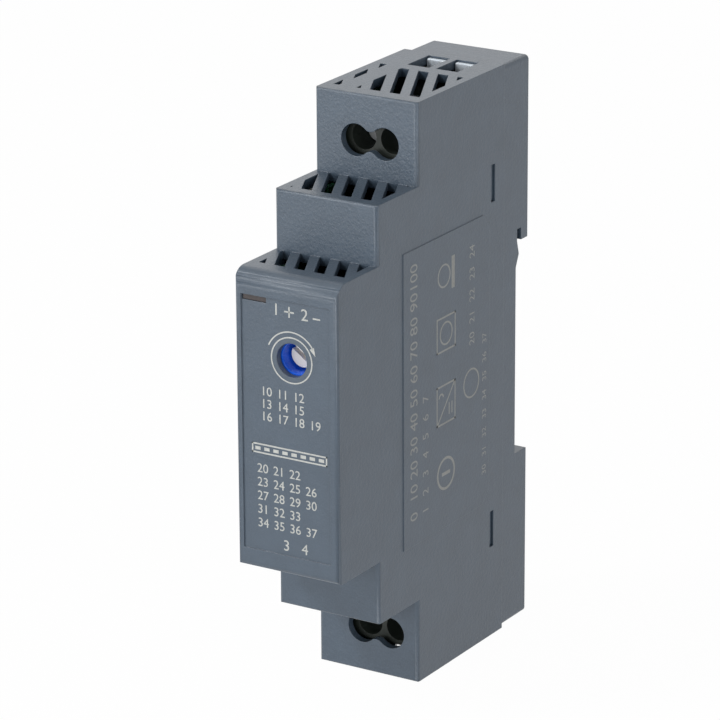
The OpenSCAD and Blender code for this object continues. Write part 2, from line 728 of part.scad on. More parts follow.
module transformer_bobbin() color("black") in_case() difference() {
    y0 = transformer_at[0] - window_half + clear;
    y1 = transformer_at[0] + window_half - clear;
    half = core_half[1] - 2.2;
    union() {
        block([core_x - 1, y0, transformer_at[1] - leg / 2 - 0.8],
            [core_x + core_t + 1, y1, transformer_at[1] + leg / 2 + 0.8]);
        for (y = [y0, y1 - 0.8])
            block([board_x + 0.4, y, transformer_at[1] - half],
                [core_x + core_t + 3, y + 0.8, transformer_at[1] + half]);
        for (s = [-1, 1]) block(
            [board_x + 0.2, transformer_at[0] + s * 8.2 - 1.1, transformer_at[1] - 7.4],
            [core_x - clear, transformer_at[0] + s * 8.2 + 1.1, transformer_at[1] + 7.4]);
        pins(transformer_pins, board_x + 1);
    }
    block([core_x - clear / 2, y0 - 4, transformer_at[1] - leg / 2 - clear / 2],
        [core_x + core_t + clear / 2, y1 + 4, transformer_at[1] + leg / 2 + clear / 2]);
}

module transformer_windings() color("khaki") in_case() difference() {
    y0 = transformer_at[0] - window_half + clear + 0.85;
    y1 = transformer_at[0] + window_half - clear - 0.85;
    half = core_half[1] - 2.5;
    block([core_x - 2.6, y0, transformer_at[1] - half],
        [core_x + core_t + 2.6, y1, transformer_at[1] + half]);
    block([core_x - 1.03, y0 - 1, transformer_at[1] - leg / 2 - 0.83],
        [core_x + core_t + 1.03, y1 + 1, transformer_at[1] + leg / 2 + 0.83]);
}

// A dual in-line package with n pins a side.
module chip(at, list, length) {
    block([board_x + 0.4, at[0] - length / 2, at[1] - 3.2], [board_x + 3.7, at[0] + length / 2, at[1] + 3.2]);
    for (p = list) {
        toward = p[1] > at[1] ? -1 : 1;
        block([board_x + 1.7, p[0] - 0.35, min(p[1] - 0.3, p[1] + toward * 0.8)],
            [board_x + 2, p[0] + 0.35, max(p[1] + 0.3, p[1] + toward * 0.8)]);
    }
    pins(list, board_x + 1.8);
}

module controller_chip() color("black") in_case() chip(controller_at, controller_pins, 9.6);
module optical_isolator() color("black") in_case() chip(isolator_at, isolator_pins, 4.7);

module safety_capacitor() color("steelblue") in_case() {
    radius = 3.3;
    translate([board_x + 1.4 + radius, safety_cap_at[0] - 1.5, safety_cap_at[1]])
        rotate([-90, 0, 0]) cylinder(h = 3, r = radius);
    pins(safety_cap_pins, board_x + 3.4);
}

module snubber_resistor() color("tan") in_case() {
    at = snubber_at;
    x = board_x + 1.6;
    translate([x, at[0], at[1] - 3.2]) cylinder(h = 6.4, r = 1.2);
    block([x - 0.3, at[0] - 0.3, at[1] - 4.5], [x + 0.3, at[0] + 0.3, at[1] + 4.5]);
    pins(snubber_pins, x);
}

// ---- Output stage ----

module output_rectifier() color("black") in_case() {
    at = rectifier_at;
    block([board_x + 0.3, at[0] - 4.6, at[1] - 5], [board_x + 3.4, at[0] + 4.6, at[1] + 5]);
    for (p = rectifier_pins)
        block([board_x + 1.5, at[0] + 4.6 - eps, p[1] - 0.4], [board_x + 2, p[0] + 0.4, p[1] + 0.4]);
    pins(rectifier_pins, board_x + 1.6);
}

module heat_spreader() color("lightsteelblue") in_case() {
    at = rectifier_at;
    x = board_x + 3.42;
    block([x, at[0] - 5.4, at[1] - 5.4], [x + 1, at[0] + 14.6, at[1] + 5.4]);
    block([board_x, at[0] + 13.6, at[1] - 5.4], [x + eps, at[0] + 14.6, at[1] + 5.4]);
}

module standing_capacitor(at) {
    radius = 4;
    top = board_x + 11.6;
    difference() {
        bar_x(at, board_x, top, radius);
        translate([board_x + 1.8, at[0], at[1]]) rotate([0, 90, 0]) rotate_extrude()
            translate([radius + 0.35, 0]) circle(0.7);
    }
    pins([for (s = [-1, 1]) [at[0], at[1] + s * 1.75]], board_x + eps);
}

module output_capacitor_high() color("darkslateblue") in_case() standing_capacitor(output_caps_at[0]);
module output_capacitor_low() color("darkslateblue") in_case() standing_capacitor(output_caps_at[1]);

module output_choke_core() color("dimgray") in_case() {
    at = output_choke_at;
    bar_x(at, board_x, board_x + 1.2, 3.8);
    bar_x(at, board_x + 1.2 - eps, board_x + 8, 1.8);
    bar_x(at, board_x + 7.8, board_x + 9, 3.8);
    pins(output_choke_pins, board_x + eps);
}

module output_choke_winding() color("chocolate") in_case() difference() {
    bar_x(output_choke_at, board_x + 1.25, board_x + 7.75, 3.5);
    bar_x(output_choke_at, board_x, board_x + 9, 1.83);
}

// Small resistors and ceramic capacitors soldered flat on the board.
module surface_mount_parts() color("dimgray") in_case() {
    for (k = [0 : 5]) block([board_x, 26 + k * 2.6, 52.4], [board_x + 0.6, 27.3 + k * 2.6, 53.2]);
    for (k = [0 : 2]) block([board_x, 36.6 + k * 2.2, 62.7], [board_x + 0.9, 37.8 + k * 2.2, 64.4]);
    for (k = [0 : 3]) block([board_x, 11.4, 48.9 + k * 2], [board_x + 0.6, 13.2, 50.1 + k * 2]);
}

front_cover();
rear_base();
rail_latch();
latch_spring();
lamp_window();
main_board();
solder_joints();
insulation_sheet();
output_terminal_block();
input_terminal_block();
output_contacts();
input_contacts();
output_screw_plus();
output_screw_minus();
input_screw_neutral();
input_screw_live();
output_clamp_plus();
output_clamp_minus();
input_clamp_neutral();
input_clamp_live();
trimmer_body();
trimmer_rotor();
status_lamp();
input_fuse();
inrush_thermistor();
filter_capacitor();
line_choke_core();
line_choke_windings();
line_choke_base();
bridge_rectifier();
bulk_capacitor_low();
bulk_capacitor_high();
transformer_core();
transformer_bobbin();
transformer_windings();
controller_chip();
optical_isolator();
safety_capacitor();
output_rectifier();
heat_spreader();
output_capacitor_high();
output_capacitor_low();
output_choke_core();
output_choke_winding();
snubber_resistor();
surface_mount_parts();
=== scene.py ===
"""Looks for a one-module rail power supply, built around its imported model.

Run as a script: it finishes every node, adds the printed marks and sets the stage.
"""
import math

import bpy
from mathutils import Matrix, Vector


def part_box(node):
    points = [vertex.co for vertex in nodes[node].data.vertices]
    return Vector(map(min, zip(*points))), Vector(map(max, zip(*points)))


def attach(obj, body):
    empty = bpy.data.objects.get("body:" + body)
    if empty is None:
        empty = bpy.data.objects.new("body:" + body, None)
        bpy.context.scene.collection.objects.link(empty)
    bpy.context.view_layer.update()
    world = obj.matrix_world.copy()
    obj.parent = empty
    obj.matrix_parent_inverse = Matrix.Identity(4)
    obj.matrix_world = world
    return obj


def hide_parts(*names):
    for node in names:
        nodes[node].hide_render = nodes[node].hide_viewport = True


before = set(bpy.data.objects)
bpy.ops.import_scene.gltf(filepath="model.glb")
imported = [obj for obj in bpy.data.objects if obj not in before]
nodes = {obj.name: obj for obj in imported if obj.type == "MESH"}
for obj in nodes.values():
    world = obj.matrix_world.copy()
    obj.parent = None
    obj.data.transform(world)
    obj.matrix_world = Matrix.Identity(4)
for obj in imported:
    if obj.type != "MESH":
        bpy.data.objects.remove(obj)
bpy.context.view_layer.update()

bl_info = {
    "name": "Rail power supply",
    "version": (1, 0, 0),
    "blender": (4, 5, 0),
    "location": "View3D > Sidebar > Power Supply",
    "description": "Finishes and printed marks of a stepped power supply for a mounting rail",
    "category": "Object",
}

MM = 0.001
CASE = "case"

# Places on the case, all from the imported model's own boxes.
cover_low, cover_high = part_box("front_cover")
rotor_low, rotor_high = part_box("trimmer_rotor")
trimmer_axis = Vector(((rotor_low.x + rotor_high.x) / 2, 0, (rotor_low.z + rotor_high.z) / 2))
label_depth = 0.2 * MM
label_y = cover_low.y + label_depth

# The printed marks stand this far out of the side, so that they show.
side_mark_proud = 0.004 * MM

# Where the camera looks, and how far it leans.
camera_target = Vector((-4.37, -0.25, 47.37)) * MM
camera_roll = math.radians(-0.317)

# Radians of the board's glass weave in each metre.
weave_rate = 9000


# ---- Settings ----

class CaseSettings(bpy.types.PropertyGroup):
    plastic: bpy.props.FloatVectorProperty(
        name="Plastic", description="Colour of the moulded case", subtype="COLOR",
        size=3, min=0, max=1, default=(0.048, 0.071, 0.1))
    grain: bpy.props.FloatProperty(
        name="Grain", description="Size of the moulded texture's grains", unit="LENGTH",
        default=0.26 * MM, min=0.05 * MM, max=1 * MM)
    grain_depth: bpy.props.FloatProperty(
        name="Grain depth", description="Depth of the moulded texture", unit="LENGTH",
        default=0.035 * MM, min=0, max=0.1 * MM)
    edge: bpy.props.FloatProperty(
        name="Edge", description="Rounding along the moulded edges", unit="LENGTH",
        default=0.13 * MM, min=0, max=0.5 * MM)


class MarkSettings(bpy.types.PropertyGroup):
    ink: bpy.props.FloatVectorProperty(
        name="Ink", description="Colour of the printed marks", subtype="COLOR",
        size=3, min=0, max=1, default=(0.46, 0.47, 0.45))
    film: bpy.props.FloatProperty(
        name="Film", description="Thickness of the printed marks", unit="LENGTH",
        default=0.03 * MM, min=0.01 * MM, max=0.1 * MM)
    line: bpy.props.FloatProperty(
        name="Line", description="Width of the drawn lines", unit="LENGTH",
        default=0.28 * MM, min=0.1 * MM, max=0.6 * MM)


class StageSettings(bpy.types.PropertyGroup):
    azimuth: bpy.props.FloatProperty(
        name="Azimuth", description="Camera's turn from the front towards the right side",
        subtype="ANGLE", default=math.radians(31.83))
    elevation: bpy.props.FloatProperty(
        name="Elevation", description="Camera's angle above the horizon", subtype="ANGLE",
        default=math.radians(18.80))
    distance: bpy.props.FloatProperty(
        name="Distance", description="Camera's distance from the case", unit="LENGTH",
        default=637.7 * MM, min=0.2)
    lens: bpy.props.FloatProperty(
        name="Lens", description="Focal length in millimetres", default=214.2, min=20)


# ---- Shader maths ----

class Field:
    """A socket of a material. Arithmetic on it adds the Math nodes."""

    def __init__(self, shader, socket):
        self.shader = shader
        self.socket = socket

    def maths(self, operation, *values):
        inputs = dict(enumerate(values))
        return self.shader.node("ShaderNodeMath", {"operation": operation}, inputs)

    def __add__(self, other):
        return self.maths("ADD", self, other)

    def __mul__(self, other):
        return self.maths("MULTIPLY", self, other)

    def __gt__(self, other):
        return self.maths("GREATER_THAN", self, other)

    def sine(self):
        return self.maths("SINE", self)

    def band(self, low, high):
        """Runs from 0 at low to 1 at high, and stays there."""
        inputs = {"Value": self, "From Min": low, "From Max": high}
        return self.shader.node("ShaderNodeMapRange", {"clamp": True}, inputs)


class Shader:
    """A material under construction."""

    def __init__(self, name):
        self.material = bpy.data.materials.new(name)
        self.material.use_nodes = True
        self.tree = self.material.node_tree
        self.tree.nodes.clear()
        self.surface = self.tree.nodes.new("ShaderNodeBsdfPrincipled")
        output = self.tree.nodes.new("ShaderNodeOutputMaterial")
        self.tree.links.new(self.surface.outputs[0], output.inputs["Surface"])
        self.place = self.node("ShaderNodeTexCoord", {}, {}, "Object")

    def put(self, socket, value):
        if isinstance(value, Field):
            self.tree.links.new(value.socket, socket)
        elif isinstance(value, (tuple, list)) and socket.type == "RGBA":
            socket.default_value = (*value[:3], 1)
        else:
            socket.default_value = value

    def node(self, kind, settings, inputs, output=0):
        made = self.tree.nodes.new(kind)
        for key, value in settings.items():
            if key == "stops":
                for stop, (place, colour) in zip(made.color_ramp.elements, value):
                    stop.position = place
                    stop.color = (*colour, 1)
            else:
                setattr(made, key, value)
        for key, value in inputs.items():
            self.put(made.inputs[key], value)
        return Field(self, made.outputs[output])

    def stretched(self, x, y, z):
        """The place on the piece, scaled along each axis."""
        inputs = {"Vector": self.place, "Scale": (x, y, z)}
        return self.node("ShaderNodeMapping", {}, inputs)

    def axes(self):
        split = self.node("ShaderNodeSeparateXYZ", {}, {0: self.place})
        return [Field(self, socket) for socket in split.socket.node.outputs]

    def noise(self, size, detail=2.0, roughness=0.5, place=None):
        """Smooth noise whose lumps are about this size, in metres."""
        inputs = {"Vector": place or self.place, "Scale": 1 / size,
                  "Detail": detail, "Roughness": roughness}
        return self.node("ShaderNodeTexNoise", {}, inputs, "Fac")

    def cells(self, size):
        """Distance to the nearest of scattered points about this far apart."""
        inputs = {"Vector": self.place, "Scale": 1 / size}
        return self.node("ShaderNodeTexVoronoi", {}, inputs, "Distance")

    def mix(self, factor, first, second):
        settings = {"data_type": "RGBA"}
        inputs = {0: factor, 6: first, 7: second}
        return self.node("ShaderNodeMix", settings, inputs, 2)

    def bump(self, height, depth, edge=0.0):
        """Relief of this depth. With edge, corners catch the light as if rounded by it."""
        inputs = {"Height": height, "Distance": depth, "Strength": 1.0}
        if edge:
            inputs["Normal"] = self.node("ShaderNodeBevel", {"samples": 6}, {"Radius": edge})
        return self.node("ShaderNodeBump", {}, inputs)

    def finish(self, **values):
        """Sets the surface: each name is a socket's, with _ for a space."""
        for key, value in values.items():
            self.put(self.surface.inputs[key.replace("_", " ")], value)
        return self.material


def shade(colour, amount):
    return tuple(min(1.0, c * amount) for c in colour)


def moulded(name, colour, grain, depth, roughness=0.5, mottle=0.1, edge=0.0):
    """Spark-eroded plastic: fine grains, and a faint mottle of the colour."""
    s = Shader(name)
    fine = s.noise(grain, 3, 0.6)
    pits = s.cells(grain * 2.2)
    broad = s.noise(4 * MM, 2, 0.5)
    mottled = broad.band(0.3, 0.7) * 0.5 + fine.band(0.35, 0.65) * 0.5
    tint = s.mix(mottled, shade(colour, 1 - mottle), shade(colour, 1 + mottle))
    rough = fine.band(0.3, 0.7) * 0.1 + (roughness - 0.05)
    normal = s.bump(fine + pits * 0.6, depth, edge)
    return s.finish(Base_Color=tint, Roughness=rough, Normal=normal, Specular_IOR_Level=0.7)


def glossy_plastic(name, colour, roughness=0.28, wave=0.004 * MM):
    """Smooth moulded plastic with faint flow marks and fine scuffs."""
    s = Shader(name)
    flow = s.noise(2.5 * MM, 2, 0.5)
    scuff = s.noise(0.2 * MM, 2, 0.6, s.stretched(1, 1, 6))
    tint = s.mix(flow, shade(colour, 0.93), shade(colour, 1.07))
    rough = scuff.band(0.35, 0.75) * 0.14 + roughness
    return s.finish(Base_Color=tint, Roughness=rough, Normal=s.bump(flow + scuff * 0.2, wave))


def plated_steel(name, colour, roughness=0.3, spangle=0.9 * MM, metal=1.0):
    """Zinc plate: a faint crystal pattern under fine rolling lines."""
    s = Shader(name)
    crystal = s.cells(spangle)
    lines = s.noise(0.06 * MM, 2, 0.6, s.stretched(1, 0.08, 1))
    tint = s.mix(crystal.band(0.1, 0.7), shade(colour, 0.82), colour)
    rough = lines.band(0.3, 0.7) * 0.2 + roughness
    height = lines * 0.5 + crystal * 0.5
    return s.finish(Base_Color=tint, Roughness=rough, Metallic=metal, Normal=s.bump(height, 0.006 * MM))


def wound(name, colour, pitch, roughness=0.3):
    """Enamelled copper wire, wound side by side, with painted shade in the grooves between turns."""
    s = Shader(name)
    x, y, z = s.axes()
    turns = (y * (2 * math.pi / pitch)).sine() * 0.5 + 0.5
    grime = s.noise(0.8 * MM, 3, 0.6)
    # Painted shade: the colour falls to 0.35 of the wire's in the grooves between turns; grime adds random
    # darker tone.
    tint = s.mix(turns * 0.6 + grime * 0.4, shade(colour, 0.35), colour)
    return s.finish(Base_Color=tint, Roughness=grime * 0.2 + roughness, Metallic=0.6,
                    Normal=s.bump(turns, 0.05 * MM))


def ground_ferrite(name, colour):
    """Dull grey ferrite with the lines of its grinding wheel."""
    s = Shader(name)
    lines = s.noise(0.1 * MM, 3, 0.7, s.stretched(1, 1, 0.1))
    specks = s.cells(0.3 * MM)
    tint = s.mix(lines, shade(colour, 0.7), shade(colour, 1.4))
    return s.finish(Base_Color=tint, Roughness=specks.band(0, 0.6) * 0.2 + 0.5,
                    Normal=s.bump(lines + specks * 0.4, 0.01 * MM))


def solder_mask(name, colour):
    """Green lacquer over etched copper tracks on woven glass."""
    s = Shader(name)
    x, y, z = s.axes()
    bend = s.noise(6 * MM, 0, 0.5)
    tracks = ((y + bend * 9 * MM) * (2 * math.pi / (2.4 * MM))).sine()
    copper = tracks.band(0.1, 0.2)
    weave = (x * weave_rate).sine() * (z * weave_rate).sine() * 0.5 + 0.5
    tint = s.mix(copper, shade(colour, 0.55), colour)
    height = copper * 0.8 + weave * 0.12
    return s.finish(Base_Color=tint, Roughness=weave * 0.1 + 0.22, Coat_Weight=0.3,
                    Normal=s.bump(height, 0.02 * MM))


def sleeve(name, colour):
    """Shrink sleeve with fine wrinkles."""
    s = Shader(name)
    wrinkle = s.noise(0.5 * MM, 3, 0.6, s.stretched(1, 0.3, 1))
    tint = s.mix(wrinkle * 0.1, colour, shade(colour, 3))
    return s.finish(Base_Color=tint, Roughness=wrinkle * 0.15 + 0.2, Coat_Weight=0.2,
                    Normal=s.bump(wrinkle, 0.01 * MM))


def tape(name, colour):
    """Glossy polyester tape in overlapping turns."""
    s = Shader(name)
    x, y, z = s.axes()
    laps = (y * (2 * math.pi / (2.8 * MM))).sine()
    film = s.noise(1.2 * MM, 3, 0.55)
    tint = s.mix(film, shade(colour, 0.8), colour)
    return s.finish(Base_Color=tint, Roughness=film * 0.15 + 0.18, Coat_Weight=0.4,
                    Normal=s.bump(laps.band(-0.1, 0.1) + film * 0.3, 0.02 * MM))


def tinted_window(name, colour):
    """Dark translucent window: nearly black until the lamp behind it glows."""
    s = Shader(name)
    haze = s.noise(0.6 * MM, 2, 0.5)
    tint = s.mix(haze, shade(colour, 0.8), shade(colour, 1.3))
    return s.finish(Base_Color=tint, Roughness=haze * 0.1 + 0.2, Coat_Weight=0.5,
                    Normal=s.bump(haze, 0.004 * MM))


def ink(name, colour):
    """Printed ink, slightly uneven in density."""
    s = Shader(name)
    density = s.noise(0.35 * MM, 3, 0.6)
    tint = s.mix(density.band(0.35, 0.65), shade(colour, 0.86), colour)
    return s.finish(Base_Color=tint, Roughness=density * 0.15 + 0.5, Normal=s.bump(density, 0.004 * MM))


# ---- Helpers ----

def give(material, *names):
    """The finish of these CAD nodes."""
    for name in names:
        piece = nodes[name]
        piece.data.materials.clear()
        piece.data.materials.append(material)


def soften(name, edge):
    """Rounds a CAD node's edges by this width, as its mould or die leaves them."""
    piece = nodes[name]
    weld = piece.modifiers.new("Weld", "WELD")
    weld.merge_threshold = 0.002 * MM
    flat = piece.modifiers.new("Flat", "DECIMATE")
    flat.decimate_type = "DISSOLVE"
    flat.angle_limit = math.radians(1)
    bevel = piece.modifiers.new("Edges", "BEVEL")
    bevel.width = edge
    bevel.segments = 2
    bevel.limit_method = "ANGLE"
    bevel.angle_limit = math.radians(40)


def settle(piece, body, material):
    """Puts a finished piece's place into its mesh and hangs it on its body."""
    bpy.ops.object.select_all(action="DESELECT")
    piece.select_set(True)
    bpy.context.view_layer.objects.active = piece
    bpy.ops.object.transform_apply(location=True, rotation=True, scale=True)
    piece.data.materials.clear()
    piece.data.materials.append(material)
    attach(piece, body)
    return piece


def shell_of(name, body=CASE):
    """Shows a copy of a CAD node, with its rounded edges smooth and the faces square to an axis flat."""
    piece = bpy.data.objects.new(name + "_shell", nodes[name].data.copy())
    bpy.context.collection.objects.link(piece)
    bpy.ops.object.select_all(action="DESELECT")
    piece.select_set(True)
    bpy.context.view_layer.objects.active = piece
    bpy.ops.object.mode_set(mode="EDIT")
    bpy.ops.mesh.select_all(action="SELECT")
    bpy.ops.mesh.remove_doubles(threshold=0.001 * MM)
    bpy.ops.object.mode_set(mode="OBJECT")
    bpy.ops.object.shade_smooth_by_angle(angle=math.radians(20))
    for face in piece.data.polygons:
        face.use_smooth = max(abs(part) for part in face.normal) < 0.9999
    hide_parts(name)
    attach(piece, body)
    return piece


# ---- Flat marks, drawn in millimetres across (u) and up (v) ----

class Drawing:
    """A set of flat printed marks, which are joined into one thin piece."""

    def __init__(self, name):
        self.name = name
        self.parts = []

    def keep(self):
        piece = bpy.context.active_object
        bpy.ops.object.transform_apply(location=True, rotation=True, scale=True)
        self.parts.append(piece)
        return piece

    def bar(self, u, v, width, height, turn=0.0):
        """A filled bar round its middle."""
        bpy.ops.object.select_all(action="DESELECT")
        bpy.ops.mesh.primitive_plane_add(size=1, location=(u, v, 0), rotation=(0, 0, math.radians(turn)))
        bpy.context.active_object.scale = (width, height, 1)
        return self.keep()

    def line(self, u0, v0, u1, v1, width):
        length = math.hypot(u1 - u0, v1 - v0) + width
        turn = math.degrees(math.atan2(v1 - v0, u1 - u0))
        return self.bar((u0 + u1) / 2, (v0 + v1) / 2, length, width, turn)

    def frame(self, u, v, width, height, line):
        for side in (-1, 1):
            self.bar(u + side * width / 2, v, line, height + line)
            self.bar(u, v + side * height / 2, width + line, line)

    def head(self, u, v, size, turn):
        """An arrow head that points along turn, in degrees."""
        bpy.ops.object.select_all(action="DESELECT")
        bpy.ops.mesh.primitive_circle_add(
            vertices=3, radius=size, fill_type="NGON", location=(u, v, 0),
            rotation=(0, 0, math.radians(turn - 90)))
        bpy.context.active_object.scale = (0.62, 1.1, 1)
        return self.keep()

    def ring(self, u, v, radius, width, start=0.0, end=360.0):
        """A ring, or the part of one from start to end, in degrees."""
        steps = 120
        bpy.ops.object.select_all(action="DESELECT")
        bpy.ops.mesh.primitive_circle_add(
            vertices=steps, radius=radius - width / 2, fill_type="NOTHING", location=(0, 0, 0))
        piece = bpy.context.active_object
        bpy.ops.object.mode_set(mode="EDIT")
        bpy.ops.mesh.select_mode(type="VERT")
        bpy.ops.mesh.select_all(action="DESELECT")
        bpy.ops.object.mode_set(mode="OBJECT")
        for vertex in piece.data.vertices:
            angle = math.degrees(math.atan2(vertex.co.y, vertex.co.x)) % 360
            vertex.select = not start <= angle <= end
        bpy.ops.object.mode_set(mode="EDIT")
        bpy.ops.mesh.delete(type="VERT")
        bpy.ops.mesh.select_all(action="SELECT")
        growth = (radius + width / 2) / (radius - width / 2)
        bpy.ops.mesh.extrude_edges_move()
        bpy.ops.transform.resize(value=(growth, growth, 1), center_override=(0, 0, 0))
        bpy.ops.object.mode_set(mode="OBJECT")
        piece.location = (u, v, 0)
        return self.keep()

    def figure(self, text, u, v, size, turn=0.0):
        """A numeral round its middle."""
        bpy.ops.object.select_all(action="DESELECT")
        bpy.ops.object.text_add(location=(u, v, 0), rotation=(0, 0, math.radians(turn)))
        label = bpy.context.active_object
        label.data.body = text
        label.data.size = size
        label.data.align_x = "CENTER"
        label.data.align_y = "CENTER"
        label.data.resolution_u = 4
        bpy.ops.object.convert(target="MESH")
        return self.keep()

    def print_on(self, origin, turn, film, material):
        """Joins the marks, thickens them and lays them on a face of the case."""
        bpy.ops.object.select_all(action="DESELECT")
        for part in self.parts:
            part.select_set(True)
        bpy.context.view_layer.objects.active = self.parts[0]
        bpy.ops.object.join()
        piece = bpy.context.active_object
        piece.name = self.name
        bpy.ops.object.mode_set(mode="EDIT")
        bpy.ops.mesh.select_all(action="SELECT")
        bpy.ops.mesh.normals_make_consistent(inside=False)
        bpy.ops.object.mode_set(mode="OBJECT")
        for face in piece.data.polygons:
            if face.normal.z < 0:
                face.flip()
        thick = piece.modifiers.new("Film", "SOLIDIFY")
        thick.thickness = film / MM
        thick.offset = 1
        bpy.ops.object.modifier_apply(modifier=thick.name)
        piece.scale = (MM, MM, MM)
        piece.rotation_euler = turn
        piece.location = origin
        return settle(piece, CASE, material)


# ---- Operators ----

class SUPPLY_OT_case(bpy.types.Operator):
    """Smooth the moulded case parts and give them their grained plastic"""
    bl_idname = "supply.case"
    bl_label = "Case"

    def execute(self, context):
        s = context.scene.supply_case
        plastic = moulded("case_plastic", tuple(s.plastic), s.grain, s.grain_depth, 0.38, 0.12, s.edge)
        for name in ("front_cover", "rear_base"):
            piece = shell_of(name)
            piece.data.materials.clear()
            piece.data.materials.append(plastic)
        latch = moulded("latch_plastic", shade(tuple(s.plastic), 0.55), s.grain, s.grain_depth)
        give(latch, "rail_latch")
        soften("rail_latch", 0.2 * MM)
        give(plated_steel("spring_wire", (0.62, 0.62, 0.6), 0.25), "latch_spring")
        return {"FINISHED"}


class SUPPLY_OT_terminals(bpy.types.Operator):
    """Finish the terminal blocks, their screws, clamps and contacts"""
    bl_idname = "supply.terminals"
    bl_label = "Terminals"

    def execute(self, context):
        give(glossy_plastic("terminal_plastic", (0.008, 0.012, 0.009), 0.5),
             "output_terminal_block", "input_terminal_block")
        give(plated_steel("contact_brass", (0.72, 0.55, 0.26), 0.28), "output_contacts", "input_contacts")
        zinc = plated_steel("screw_zinc", (0.3, 0.31, 0.32), 0.4, 0.5 * MM)
        cage = plated_steel("clamp_zinc", (0.7, 0.76, 0.82), 0.5, 0.6 * MM, 0.45)
        for name in nodes:
            if "_screw_" in name:
                give(zinc, name)
                soften(name, 0.12 * MM)
            elif "_clamp_" in name:
                give(cage, name)
                soften(name, 0.1 * MM)
        for name in ("output_terminal_block", "input_terminal_block", "output_contacts", "input_contacts"):
            soften(name, 0.12 * MM)
        return {"FINISHED"}


class SUPPLY_OT_adjuster(bpy.types.Operator):
    """Finish the voltage trimmer, its rotor, the lamp and its window"""
    bl_idname = "supply.adjuster"
    bl_label = "Trimmer and lamp"

    def execute(self, context):
        give(glossy_plastic("trimmer_blue", (0.004, 0.095, 0.62), 0.22), "trimmer_body")
        give(glossy_plastic("trimmer_white", (0.78, 0.74, 0.66), 0.35), "trimmer_rotor")
        give(tinted_window("lamp_window", (0.03, 0.022, 0.022)), "lamp_window")
        give(glossy_plastic("lamp_lens", (0.35, 0.55, 0.3), 0.15), "status_lamp")
        soften("trimmer_body", 0.12 * MM)
        soften("trimmer_rotor", 0.15 * MM)
        soften("lamp_window", 0.08 * MM)
        return {"FINISHED"}


class SUPPLY_OT_board(bpy.types.Operator):
    """Finish the circuit board and everything soldered to it"""
    bl_idname = "supply.board"
    bl_label = "Board"

    def execute(self, context):
        black = moulded("package_black", (0.02, 0.02, 0.022), 0.12 * MM, 0.01 * MM, 0.45)
        ferrite = ground_ferrite("ferrite_grey", (0.035, 0.035, 0.038))
        finishes = {
            solder_mask("board_lacquer", (0.012, 0.09, 0.035)): ["main_board"],
            plated_steel("solder_tin", (0.7, 0.71, 0.72), 0.22): ["solder_joints"],
            glossy_plastic("insulation_film", (0.6, 0.57, 0.48), 0.4): ["insulation_sheet"],
            glossy_plastic("fuse_brown", (0.09, 0.03, 0.015), 0.3): ["input_fuse"],
            moulded("thermistor_olive", (0.05, 0.06, 0.02), 0.1 * MM, 0.01 * MM, 0.4): ["inrush_thermistor"],
            glossy_plastic("film_yellow", (0.7, 0.42, 0.02), 0.3): ["filter_capacitor"],
            glossy_plastic("disc_blue", (0.02, 0.13, 0.4), 0.3): ["safety_capacitor"],
            wound("copper_wire", (0.62, 0.22, 0.07), 0.4 * MM): [
                "line_choke_windings", "output_choke_winding"],
            tape("winding_tape", (0.66, 0.5, 0.08)): ["transformer_windings"],
            ferrite: ["line_choke_core", "transformer_core", "output_choke_core"],
            black: ["line_choke_base", "bridge_rectifier", "controller_chip", "optical_isolator",
                    "output_rectifier", "transformer_bobbin"],
            sleeve("capacitor_sleeve", (0.02, 0.025, 0.06)): [
                "bulk_capacitor_low", "bulk_capacitor_high",
                "output_capacitor_low", "output_capacitor_high"],
            plated_steel("spreader_aluminium", (0.75, 0.76, 0.78), 0.35): ["heat_spreader"],
            moulded("resistor_tan", (0.45, 0.3, 0.16), 0.1 * MM, 0.01 * MM, 0.4): ["snubber_resistor"],
            moulded("chip_grey", (0.09, 0.08, 0.075), 0.1 * MM, 0.01 * MM, 0.4): ["surface_mount_parts"],
        }
        for material, names in finishes.items():
            give(material, *names)
            for name in names:
                if name not in ("main_board", "solder_joints", "surface_mount_parts"):
                    soften(name, 0.15 * MM)
        return {"FINISHED"}


class SUPPLY_OT_front_marks(bpy.types.Operator):
    """Print the generic marks of the front label"""
    bl_idname = "supply.front_marks"
    bl_label = "Front marks"

    def execute(self, context):
        s = context.scene.supply_marks
        d = Drawing("front_marks")
        u, v = (trimmer_axis.x - cover_low.x) / MM, trimmer_axis.z / MM
        line = s.line / MM
        d.ring(u, v, 3.42, line * 0.7)
        d.ring(u, v, 4.25, line * 0.7, 32, 158)
        d.head(u + 3.62, v + 2.0, 0.75, -62)
        d.figure("1", 7.0, 63.2, 2.5)
        d.line(8.5, 63.2, 9.9, 63.2, line * 0.8)
        d.line(9.2, 62.5, 9.2, 63.9, line * 0.8)
        d.figure("2", 11.8, 63.1, 2.5)
        d.line(13.3, 62.9, 14.3, 62.9, line * 0.8)
        d.figure("3", 8.35, 27.4, 2.3)
        d.figure("4", 11.5, 27.4, 2.3)
        counts = iter(range(10, 99))
        for height, start, many in ((50.5, 4.0, 3), (48.6, 4.0, 3), (46.7, 4.0, 4), (38.6, 3.2, 3),
                                    (36.5, 3.2, 4), (34.4, 3.2, 4), (32.3, 3.2, 3), (30.2, 3.2, 4)):
            for k in range(many):
                d.figure(str(next(counts)), start + 1.2 + k * 2.75, height, 1.95)
        d.frame(9.0, 41.7, 12.6, 1.3, line * 0.8)
        for k in range(8):
            d.bar(3.6 + k * 1.55, 41.7, 0.9, 0.5)
        d.print_on((cover_low.x, label_y, 0), (math.pi / 2, 0, 0), s.film, ink("front_ink", tuple(s.ink)))
        return {"FINISHED"}


